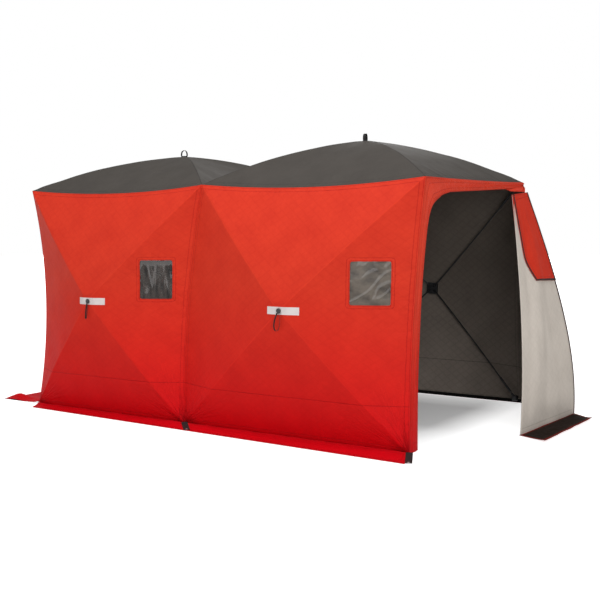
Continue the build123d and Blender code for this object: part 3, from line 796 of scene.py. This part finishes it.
# %% Long walls with their windows
window_size = {"left": (0.230, 0.290), "right": (0.256, 0.284)}
window_height = {"left": 1.067, "right": 1.088}
window_offset = {"left": 0.526, "right": 0.602}
window_radius = 0.014
film_gap, film_overlap = 0.0014, 0.015
middle_crease, corner_crease = (0.012, 0.19), (0.007, 0.13)
cells = 66
walls = {}
for room in rooms:
    for side, word in ((-1, "front"), (1, "back")):
        a, b = rooms[room]
        eave = long_seam(room, side, "top")
        seams = [long_seam(room, side, "base"), upright(b, side), eave[::-1],
                 upright(a, side)[::-1]]
        hub = (hub_x[room], side * (base_half_width + hub_reach), hub_height)
        window_x = hub_x[room] - side * window_offset[room]
        feet = []
        for station_name in (a, b):
            size = middle_crease if station_name == "middle" else corner_crease
            foot = ((window_x - base_x[station_name]) * side, wall_foot - window_height[room])
            feet.append((foot, *size))
        piece = popped_panel(f"{word}_{room}_cloth", seams, hub, (0, side, 0), wall_bow, cells,
                             (window_x, 0, window_height[room]), ((-side, 0, 0), (0, 0, 1)),
                             feet, window_size[room], 3.0 * side + len(walls))
        middle = (window_x, window_height[room])
        node = f"{word}_window_{room}"
        pane = film_pane(node + "_film", piece, room, side, middle, window_size[room])
        cut_window(piece, middle, window_size[room], window_radius)
        sew(piece, red_wall, lining, cloth, "hut", f"{word}_wall_{room}",
            (1.95, 1.80))
        walls[word, room] = piece
        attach(pane, "hut")
        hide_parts(node)

# %% [markdown]
# ## End wall and roofs
# The closed end and the two roofs are popped panels like the walls, without windows.
# The roofs share the valley between the rooms, which sags more than the eaves do.
# They come from the same maker, so their ridges meet the walls' seams.

# %% End wall and roofs
left_end = cross_seam("left", "top", end_eave_sag)
seams = [cross_seam("left", "base", 0), upright("left", 1), left_end[::-1],
         upright("left", -1)[::-1]]
feet = [((side * base_half_width, wall_foot), *corner_crease) for side in (-1, 1)]
end_panel = popped_panel("end_cloth", seams, (base_x["left"] - hub_reach, 0, hub_height),
                         (-1, 0, 0), wall_bow, cells, (0, 0, 0), ((0, 1, 0), (0, 0, 1)), feet,
                         None, 7.0)
sew(end_panel, red_end, lining, cloth, "hut", "end_wall", (2.0, 1.85))
walls["end", "left"] = end_panel

right_end = cross_seam("right", "top", end_eave_sag)
valley = cross_seam("middle", "top", valley_sag)
for room, near, far in (("left", left_end, valley), ("right", valley, right_end)):
    seams = [long_seam(room, -1, "top"), far, long_seam(room, 1, "top")[::-1], near[::-1]]
    piece = popped_panel(f"roof_{room}_cloth", seams, (hub_x[room], 0, peak_height[room]),
                         (0, 0, 1), roof_bow, cells, (0, 0, 0), ((1, 0, 0), (0, 1, 0)), seed=11.0)
    sew(piece, roof_cloth, lining, cloth, "hut", f"roof_{room}", (2.0, 1.9))

# %% [markdown]
# ## Door end
# One cloth makes the near jamb and the header. The header is padded: two puffed
# rows lie along it with a double seam between them. Its lower edge turns the
# shoulder in a round corner, so the sheet follows the opening's edge on one side
# and the corner seam and eave on the other.

# %% Near jamb and header in one band
near_side = [(-0.8775, wall_foot), (-0.833, 0.652), (-0.796, 1.209), (-0.747, 1.536),
             (-0.616, 1.640), (-0.468, 1.675)]
far_head = (0.851, 1.724)
header_start = 0.6


def end_x(z):
    t = min(max((z - wall_foot) / (eave_height - wall_foot), 0), 1)
    return float(curve_at(upright("right", -1), t)[0])


def doorway_edge(t):
    """Round the opening: up the near jamb, over the shoulder and along the header."""
    if t < header_start:
        return through(near_side, t / header_start)
    return lerp(near_side[-1], far_head, (t - header_start) / (1 - header_start))


def outer_edge(t):
    """The corner seam and the eave, beside the same place on the opening."""
    step = 5 * t / header_start
    if step < 3.6:
        z = np.interp(step, [0, 1, 2, 3, 3.6], [wall_foot, 0.66, 1.25, 1.62, eave_height])
        return curve_at(upright("right", -1), (z - wall_foot) / (eave_height - wall_foot))
    reach = top_half_width["right"]
    turns = [header_start * 0.72, header_start * 0.8, header_start, 1]
    y = np.interp(t, turns, [-reach, -0.72, -0.49, reach])
    return curve_at(right_end, (y + reach) / (2 * reach))


def frame_surface(u, v):
    y, z = doorway_edge(u)
    inner = np.array([end_x(z), y, z])
    point = lerp(inner, outer_edge(u), v)
    header = min(max((u - 0.5) / 0.08, 0), 1)
    rows = abs(math.sin(2 * math.pi * v)) * header + math.sin(math.pi * v) * (1 - header)
    pucker = rough((u * 110, v * 3, 0), 1.0, 2.0) * header
    pucker += rough((u * 14, v * 4, 0), 1.0) * (1 - header)
    point[0] += rows * (0.008 + 0.004 * pucker) + 0.004 * hump(v - 0.07, 0.10)
    return point


# Its red is painted lighter than the walls' red, as painted light.
door_end = draped_grid("door_end_cloth", 300, 22, frame_surface, (3.2, 0.12), (1, 0, 0))
sew(door_end, red_painted_lighter, lining, cloth, "hut", "door_frame", (3.3, 0.16))

# %% [markdown]
# ## Far jamb and web
# The far jamb is a narrow strip between the corner seam and the seam that the door
# turns on. A small gathered web closes the corner above it, under the header. Each
# could be cut out of one large sheet, but they are sewn from separate cloths, and so
# they are separate grids here.

# %% Far jamb
hinge = np.array([1.850, 0.812, 0]) + along_hut
jamb_head = 1.7233


def jamb_surface(u, v):
    corner_point = curve_at(upright("right", 1), v)
    seam_point = np.array([hinge[0], hinge[1], wall_foot + v * (eave_height - wall_foot)])
    point = lerp(corner_point, seam_point, u)
    point[2] = min(point[2], jamb_head + (eave_height - jamb_head) * max(1 - u * 3, 0))
    point[0] += 0.004 * math.sin(math.pi * u) * (1 + rough((u, v * 9, 0), 1.0, 4.0))
    return point


far_jamb = draped_grid("far_jamb_cloth", 16, 110, jamb_surface, (0.14, 1.72), (1, 0, 0))
sew(far_jamb, red_plain, lining, cloth, "hut", "door_seam_strip", (0.22, 1.77))

# %% Web between the header's far end and the door's head
def web_surface(u, v):
    top = lerp((end_x(1.71), 0.52, jamb_head - 0.012), (end_x(1.74), 0.849, 1.748), u)
    low_edge = lerp((hinge[0] - 0.012, 0.545, 1.695), (hinge[0] - 0.002, 0.812, 1.695), u)
    point = lerp(low_edge, top, v)
    point[0] += 0.006 * math.sin(math.pi * v) * (1 + 0.5 * rough((u * 6, v * 2, 0), 1.0, 3.0))
    return point


head_web = draped_grid("door_head_web", 40, 12, web_surface, (0.31, 0.05), (1, 0, 0))
# The web has the same red painted lighter.
sew(head_web, red_painted_lighter, lining, 0.003, "hut", "door_seam_strip", (0.33, 0.07))

# %% [markdown]
# ## The door
# The door is one cloth, sewn to the far jamb and zipped all round. It stands open,
# folded back on itself along a slanting line, lining out, with its head turned
# down over it as a red flap. Its fold is rolled, not pressed: near the fold the
# two layers bend round a small radius.

# %% The folded leaf
door_foot, door_head = 0.006, 1.690
fold_guides = [np.array(p) + along_hut for p in
               ((2.182, -0.136, 0.006), (2.129, 0.091, 0.568), (1.992, 0.319, 1.120),
                (1.840, 0.545, 1.668))]
edge_guides = [np.array(p) + along_hut for p in
               ((2.259, 0.792, 0.006), (2.289, 0.797, 0.598), (2.031, 0.800, 1.229),
                (1.868, 0.806, 1.690))]
leaf_across = unit(edge_guides[3] - fold_guides[3])
leaf_facing = unit(np.cross(leaf_across, edge_guides[3] - edge_guides[1]))
leaf_up = np.cross(leaf_facing, leaf_across)
roll_radius = 0.032


def leaf_point(w, v):
    """A place on the leaf's outer layer: w from the fold to the free edge, v from the foot up."""
    return lerp(cubic(fold_guides, v), cubic(edge_guides, v), w)


def leaf_relief(w, v):
    """Slack in the outer layer: a slanting fold, and wrinkles gathered at the foot."""
    slant = 0.018 * hump(w - 0.42 - 0.55 * (v - 0.45), 0.30) * hump(v - 0.42, 0.9)
    low = 0.014 * max(rough((w * 2.2, v * 11, 0), 1.0, 6.0), -0.3) * max(1 - v / 0.45, 0)
    fine = 0.005 * rough((w * 9, v * 4, 0), 1.0, 8.0)
    return (slant + low + fine) * min(w * 6, 1) * min((1 - w) * 8, 1) * min((1 - v) * 4, 1)


def door_surface(u, v):
    z = lerp(door_foot, door_head, v)
    hinge_point = np.array([hinge[0] + 0.001, hinge[1] - 0.003, z])
    fold_point = cubic(fold_guides, v)
    edge_point = cubic(edge_guides, v)
    length_a = np.linalg.norm(fold_point - hinge_point)
    length_b = np.linalg.norm(edge_point - fold_point)
    w = u * 2
    if w < 1:
        distance = (1 - w) * length_a
        point = lerp(fold_point, hinge_point, 1 - w)
    else:
        distance = (w - 1) * length_b
        point = leaf_point(w - 1, v) + leaf_facing * leaf_relief(w - 1, v)
    if distance < roll_radius:
        a = lerp(fold_point, hinge_point, min(roll_radius / length_a, 1))
        b = lerp(fold_point, edge_point, min(roll_radius / length_b, 1))
        k = 0.5 + 0.5 * distance / roll_radius * (1 if w >= 1 else -1)
        point = curve_at([a, fold_point, b], k)
    return point


door_leaf = draped_grid("door_leaf", 200, 130, door_surface, (2.0, 1.68))
sew(door_leaf, pale_lining, red_plain, 0.005, "door", "door_panel", (2.1, 1.72))

# %% [markdown]
# ## Flap and zips
# The door's head is turned down over the leaf and shows its red side, with zip tape
# round its edges. It could be a stiff plate laid on top. Here it is worked out on the
# leaf's own surface and lifted a few millimetres, so it follows every fold of it.

# %% Turned-down flap and the zips
leaf_samples = [(w, v) for w in np.linspace(0, 1, 81) for v in np.linspace(0, 1, 161)]
leaf_places = np.array([leaf_point(w, v) - edge_guides[3] for w, v in leaf_samples])
leaf_plan = np.stack([leaf_places @ leaf_across, leaf_places @ leaf_up], 1)


def on_leaf(x, y):
    """The leaf's own place nearest to a point of its plane, from the head of its free edge."""
    nearest = np.argmin(np.hypot(leaf_plan[:, 0] - x, leaf_plan[:, 1] - y))
    return np.array(leaf_samples[nearest])


flap_side = [on_leaf(x, y) for x, y in
             ((-0.237, 0.0), (-0.351, -0.354), (-0.379, -0.500), (-0.345, -0.672))]
flap_corner = on_leaf(-0.003, -0.710)
flap_lift, flap_thickness = 0.005, 0.003
zip_width, zip_thickness, zip_gap = 0.016, 0.0012, 0.0004


def flap_point(u, v, lift):
    """u from the flap's side to the leaf's edge, v from the head down."""
    w, height = lerp(through(flap_side, v), (1.0, lerp(1.0, flap_corner[1], v)), u)
    slack = 0.007 * hump(u - 0.45, 0.7) * v + 0.004 * rough((u * 3, v * 4, 0), 1.0, 3.0) * v
    return leaf_point(w, height) + leaf_facing * (lift + max(slack, 0) + leaf_relief(w, height))


door_flap = draped_grid("door_flap_cloth", 40, 70, lambda u, v: flap_point(u, v, flap_lift),
                        (0.34, 0.75), leaf_facing)
sew(door_flap, red_plain, pale_lining, flap_thickness, "door", "door_flap",
    (0.52, 0.80))


def edge_zip(u, v):
    """Tape along the leaf's free edge."""
    edge = cubic(edge_guides, v)
    inward = unit(leaf_point(0, v) - edge)
    lift = zip_thickness + zip_gap + leaf_relief(1 - 0.06 * (1 - u), v)
    return edge + inward * zip_width * (1 - u) + leaf_facing * lift


def rim_zip(side):
    """Tape along one side of the flap: its free side, its foot or the leaf's edge."""
    lift = flap_lift + zip_thickness + zip_gap

    def surface(u, v):
        if side == "foot":
            return flap_point(v, 1 - u * zip_width / 0.70, lift)
        width = zip_width / np.linalg.norm(flap_point(0, v, 0) - flap_point(1, v, 0))
        return flap_point(u * width if side == "side" else 1 - u * width, v, lift)
    return surface


tapes = [("edge_zip", edge_zip, 1.75)]
tapes += [(f"flap_{side}_zip", rim_zip(side), length) for side, length in
          (("side", 0.75), ("foot", 0.36), ("edge", 0.72))]
for name, surface, length in tapes:
    tape = draped_grid(name, 3, 120, surface, (zip_width, length), leaf_facing)
    sew(tape, zip_tape, zip_tape, zip_thickness, "door", "door_zips",
        (zip_width * 1.3, length * 1.1))

# %% [markdown]
# ## The door's hem
# A dark strip at the foot of the door lies out on the ice, with a band sewn along its
# free edges. It turns with the door. A flat plate would look cut out, so its outer
# edge rises and falls a little.

# %% The door's hem on the ice
skirt_corners = [np.array(p) + along_hut for p in
                 ((2.174, -0.136, 0), (2.401, -0.253, 0), (2.445, 0.641, 0), (2.251, 0.792, 0))]


def door_skirt_surface(u, v):
    near = lerp(skirt_corners[0], skirt_corners[1], v)
    point = lerp(near, lerp(skirt_corners[3], skirt_corners[2], v), u)
    point[2] = 0.0055 + 0.005 * v * (1 + rough(point, 9.0)) + 0.006 * hump(1 - v, 0.3)
    return point


door_hem = draped_grid("door_skirt_cloth", 60, 20, door_skirt_surface, (0.95, 0.22), (0, 0, 1))
sew(door_hem, brown_hem, red_plain, 0.002, "door", "door_skirt", (1.0, 0.28))

# %% [markdown]
# ## Skirts on the ice
# A skirt is sewn along the foot of each wall and lies out on the ice, where snow is
# heaped on it. Its seam stands up as a soft roll, and its hem is a thin rope of
# cloth. At the front left foot the skirt is pulled round and twists on itself.

# %% Skirt cloths
def skirt_rise(point, v, reach):
    """Height of a skirt's cloth: v is 0 at the wall and 1 at the hem."""
    wave = 0.5 + 0.5 * rough(point * np.array([1, 2.5, 1]), 5.0, 2.0)
    roll = 0.013 * hump(v * reach - 0.020, 0.045) * (0.75 + 0.25 * rough(point, 14.0, 5.0))
    hem = 0.004 * hump((1 - v) * reach - 0.006, 0.016)
    return 0.004 + roll + hem + 0.009 * wave * v * (1 - v) * 3


def skirt(name, corners, across, up, node, size, twist=0.0):
    def surface(u, v):
        near, far = lerp(corners[0], corners[1], u), lerp(corners[3], corners[2], u)
        point = lerp(near, far, v)
        rise = skirt_rise(point, v, np.linalg.norm(far - near))
        turn = 0.45 + 0.55 * math.cos(2 * math.pi * 1.3 * v)
        curl = twist * hump(u * size[0] - 0.075, 0.11) * turn
        point[2] = rise + 0.042 * max(curl, 0)
        return point

    piece = draped_grid(name, across, up, surface, size, (0, 0, 1))
    sew(piece, red_plain, red_plain, 0.003, "hut", node,
        (size[0] * 1.02, size[1] * 1.3))


left_reach, right_reach = 0.150, 0.254
for side, node in ((-1, "front_skirt"), (1, "back_skirt")):
    y = side * base_half_width
    skirt(node + "_cloth", [(base_x["left"], y, 0), (base_x["right"], y, 0),
          (base_x["right"] + 0.097, y + side * right_reach, 0),
          (base_x["left"] + 0.086, y + side * left_reach, 0)], 220, 30, node, (3.5, 0.22))
skirt("end_skirt_cloth", [(base_x["left"], -0.992, 0), (base_x["left"], 0.992, 0),
      (base_x["left"] - 0.280, 0.992, 0), (base_x["left"] - 0.419, -0.992, 0)],
      140, 40, "end_skirt", (1.984, 0.36), 1.0)

# %% [markdown]
# ## Strips, straps and loops
# A reflective strip is sewn over each wall's point. A strap hangs from every wall
# hub, to pull the panel in or out, and a stiff loop stands on each roof hub. Tabs
# of webbing with metal eyelets take the ice anchors at the feet. All are narrow
# tapes, so they are grids too, carried along a line.

# %% Tapes along a line
def ribbon(name, line, width_line, steps, width, length, finish, thickness, node,
           facing=None):
    """line(t) is the tape's middle, and width_line(t) the direction of its width."""
    def surface(u, v):
        return line(v) + width_line(v) * width * (u - 0.5)

    tape = draped_grid(name, 4, steps, surface, (width, length), facing)
    sew(tape, finish, finish, thickness, "hut", node, (width * 1.15, length * 1.15))
    return tape


directions = {"front": (0, -1, 0), "back": (0, 1, 0), "end": (-1, 0, 0)}
strap_spread = {("front", "right"): 0.028, ("front", "left"): 0.008}
for (word, room), wall in walls.items():
    out = np.array(directions[word], float)
    level = np.cross((0, 0, 1), out)
    hub = np.array([hub_x[room], out[1] * (base_half_width + hub_reach), hub_height])
    if word == "end":
        hub[:2] = base_x["left"] - hub_reach, 0
    title = f"{word}_{room}"

    def strip_surface(u, v):
        spot = hub + level * (0.022 + 0.250 * (u - 0.5)) + np.array([0, 0, 0.052 * (v - 0.5)])
        _, place, _, _ = wall.ray_cast(Vector(spot + out * 0.5), Vector(-out))
        return np.array(place) + out * 0.0016

    strip = draped_grid(title + "_strip", 50, 10, strip_surface, (0.250, 0.052), out)
    sew(strip, reflective, reflective, 0.0012, "hut", "hub_strips", (0.256, 0.054))

    lean = unit(np.array([0, 0, -1]) - level * 0.158)
    beside = np.cross(lean, out)
    spread = strap_spread.get((word, room), 0.014)

    def strap_line(t):
        turn = 2 * math.pi * t
        fall = 0.068 * (1 - math.cos(turn))
        sideways = spread * math.sin(turn) * math.sin(turn / 2)
        return hub + out * 0.0105 + lean * fall + beside * sideways

    def strap_width(t):
        return unit(out * 0.75 + beside * 0.65 * math.cos(math.pi * t))

    ribbon(title + "_strap", strap_line, strap_width, 90, 0.009, 0.285, black_webbing, 0.002,
           "pull_straps")

loop_points = [(0, 0.001), (0.022, 0.002), (0.030, 0.016), (0.024, 0.043), (0, 0.0560),
               (-0.024, 0.043), (-0.030, 0.016), (-0.022, 0.002), (0, 0.001)]
loop_shapes = (("left", (1, 0, 0), 1, 0.017), ("right", (0, 1, 0), 0.55, 0.022))
for room, way, spread, width in loop_shapes:
    hub = np.array([hub_x[room], 0, peak_height[room]])
    reach = np.array(way)
    side_way = np.cross(reach, (0, 0, 1))

    def loop_line(t):
        across, up = through(loop_points, t)
        return hub + reach * across * spread + np.array([0, 0, up + 0.001])

    ribbon(f"roof_{room}_loop", loop_line, lambda t: side_way, 80, width, 0.190, black_webbing,
           0.0016, "roof_loops")

# %% [markdown]
# ## Anchor tabs
# At each foot a tab of webbing lies over the skirt, with a punched hole and a metal
# eyelet for an ice anchor. The hole is cut through the finished tape. The eyelet is
# a short turned profile, worked out as a grid and closed where its ends meet.

# %% Anchor tabs with eyelets
def drill(piece, place, radius):
    bpy.ops.mesh.primitive_cylinder_add(vertices=24, radius=radius, depth=0.05, location=place)
    cutter = bpy.context.object
    apply_modifier(piece, "BOOLEAN", object=cutter, operation="DIFFERENCE", solver="EXACT")
    bpy.data.objects.remove(cutter)


tab_length, tab_width = 0.265, 0.046
eyelet_profile = [(0.0068, -0.0020), (0.0062, 0.0010), (0.0070, 0.0024), (0.0090, 0.0028),
                  (0.0115, 0.0008)]
tab_start, tab_lift, eyelet_inset = 0.004, 0.0028, 0.018
swing = {("front", "middle"): 44, ("back", "middle"): 0, ("front", "right"): 26,
         ("back", "right"): 26}
for place_name in base_x:
    for side, word in ((-1, "front"), (1, "back")):
        foot = np.array([base_x[place_name], side * base_half_width, 0])
        tucked = place_name == "left"
        if tucked:
            outward = np.array([-1.0, 0, 0])
            foot = foot + np.array([-0.176 if side < 0 else -0.030, -side * 0.030, 0])
        else:
            heading = side * (math.pi / 2 - math.radians(swing[word, place_name]))
            outward = np.array([math.cos(heading), math.sin(heading), 0])
        beside = np.array([-outward[1], outward[0], 0])
        rest = 0.0022 if tucked else 0.0

        def tab_line(t):
            point = foot + outward * (tab_start + tab_length * t)
            if not tucked:
                share = base_x[place_name] - base_x["left"]
                share = share / (base_x["right"] - base_x["left"])
                reach = lerp(left_reach, right_reach, share)
                over = min(abs(point[1]) - base_half_width, reach) / reach
                point[2] = skirt_rise(point, over, reach) + tab_lift
            return point + np.array([0, 0, rest])

        tab = ribbon(f"{word}_{place_name}_tab", tab_line, lambda t: beside, 40, tab_width,
                     tab_length, black_webbing, 0.0016, "anchor_tabs",
                     (0, 0, 1))
        spot = tab_line((tab_length - eyelet_inset) / tab_length)
        drill(tab, spot, 0.0070)

        def eyelet_surface(u, v):
            radius, rise = through(eyelet_profile, v)
            angle = 2 * math.pi * u
            ray = np.array([math.cos(angle), math.sin(angle), 0])
            return spot + ray * radius + np.array([0, 0, rise])

        eyelet = draped_grid(f"{word}_{place_name}_eyelet", 32, 10, eyelet_surface, (0.06, 0.01))
        bpy.ops.object.mode_set(mode="EDIT")
        bpy.ops.mesh.select_all(action="SELECT")
        bpy.ops.mesh.remove_doubles(threshold=0.0001)
        bpy.ops.mesh.normals_make_consistent(inside=False)
        bpy.ops.object.mode_set(mode="OBJECT")
        bpy.ops.object.shade_smooth()
        eyelet.data.materials.append(eyelet_metal)
        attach(eyelet, "hut")
print("tabs ready")

# %% [markdown]
# ## Hubs, rods and brackets
# These come ready made from the frame, with their slots, pins and bores. Modelling
# them again would only move them off their seats, so they keep their shape and get
# a finish.

# %% Finishes of the ready-made nodes
for name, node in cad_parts.items():
    if name.endswith("_rods"):
        finish = black_rod
    elif name.endswith("_hub") or name.endswith("brackets"):
        finish = black_moulding
    else:
        continue
    node.data.materials.clear()
    node.data.materials.append(finish)
print("nodes finished")

# %% [markdown]
# ## Stage, lights and camera
# A white floor and plain soft light show the hut as in a studio. The floor adds
# some white of its own for the camera, and keeps the hut's shadow. Inside the hut
# that white is turned down by place, so part of the grey there is painted and not
# cast. It stays where it is when the door moves.

# %% Floor and background
bpy.ops.mesh.primitive_plane_add(size=60)
floor = bpy.context.object
floor.name = "floor"
pale = Finish("pale floor", {"Roughness": 0.9, "Specular IOR Level": 0.0, "Emission Strength": 1.0,
                             "Base Color": (0.8, 0.8, 0.8, 1)})
rays = pale.node("ShaderNodeLightPath", {}, [], "Is Camera Ray")
glossy = pale.node("ShaderNodeLightPath", {}, [], "Is Glossy Ray")
through_film = pale.node("ShaderNodeLightPath", {}, [], "Is Transmission Ray")
seen = (rays + glossy + through_film).clip()
x, y, _ = pale.split(pale.place())
deep_in = ((y + 0.75) / 0.60).clip() - ((y - 0.60) / 0.35).clip() * 0.45
shade = deep_in * ((1.66 - x.math("ABSOLUTE")) * 3.0).clip() * ((1.0 - y) * 40.0).clip()
distance = (x * x + y * y).math("SQRT")
white_share = (0.62 + distance * 0.06) - shade * 0.52
glow = white_share * seen
grey = pale.node("ShaderNodeCombineXYZ", {}, [glow, glow, glow])
pale.wire("Emission Color", grey)
floor.data.materials.append(pale.material)
print("floor ready")

# %% The world: soft light, and white for the camera
world = bpy.data.worlds.new("studio")
scene.world = world
world.use_nodes = True
tree = world.node_tree
tree.nodes.clear()
output = tree.nodes.new("ShaderNodeOutputWorld")
soft = tree.nodes.new("ShaderNodeBackground")
soft.inputs["Color"].default_value = (1, 1, 1, 1)
soft.inputs["Strength"].default_value = 0.42
white = tree.nodes.new("ShaderNodeBackground")
white.inputs["Color"].default_value = (1, 1, 1, 1)
white.inputs["Strength"].default_value = 1.0
chosen = tree.nodes.new("ShaderNodeMixShader")
world_rays = tree.nodes.new("ShaderNodeLightPath")
tree.links.new(world_rays.outputs["Is Camera Ray"], chosen.inputs[0])
tree.links.new(soft.outputs[0], chosen.inputs[1])
tree.links.new(white.outputs[0], chosen.inputs[2])
tree.links.new(chosen.outputs[0], output.inputs[0])
print("world ready")

# %% Lamps
def lamp(name, place, aim, size, power):
    data = bpy.data.lights.new(name, "AREA")
    data.shape = "DISK"
    data.size = size
    data.energy = power
    lamp_object = bpy.data.objects.new(name, data)
    lamp_object.location = place
    direction = Vector(aim) - Vector(place)
    lamp_object.rotation_euler = direction.to_track_quat("-Z", "Y").to_euler()
    scene.collection.objects.link(lamp_object)


lamp("overhead", (0.5, -2.5, 6.5), (0, -0.3, 0.8), 5.0, 260)
lamp("right front", (6.8, -5.8, 3.4), (0.6, -0.6, 0.9), 5.0, 250)
lamp("left front", (-5.0, -8.0, 2.6), (-0.6, -0.6, 0.9), 3.5, 60)
lamp("back", (-3.5, 8.0, 4.0), (0, 0.8, 0.9), 4.0, 150)
print("lamps", len(bpy.data.lights))

# %% [markdown]
# ## Camera
# The camera stands at eye height off the door's corner and looks slightly down. Its
# place, turn and lens are plain numbers, because they were worked out together so
# that the hut's corners fall where they should.

# %% Camera
place = Vector((4.425595, -6.504534, 1.510683))
yaw, pitch, roll, focal = 2.156392, 0.083008, -0.012216, 1.6319645
ahead = Vector((math.cos(yaw) * math.cos(pitch), math.sin(yaw) * math.cos(pitch), -math.sin(pitch)))
right = Vector((math.sin(yaw), -math.cos(yaw), 0))
above = right.cross(ahead)
right, above = (math.cos(roll) * right + math.sin(roll) * above,
                -math.sin(roll) * right + math.cos(roll) * above)
data = bpy.data.cameras.new("camera")
data.sensor_width = 36
data.lens = focal * data.sensor_width
camera = bpy.data.objects.new("camera", data)
turn = Matrix((right, above, -ahead)).transposed().to_4x4()
camera.matrix_world = Matrix.Translation(place) @ turn
scene.collection.objects.link(camera)
scene.camera = camera
scene.view_settings.view_transform = "Standard"
print("lens", round(data.lens, 2))
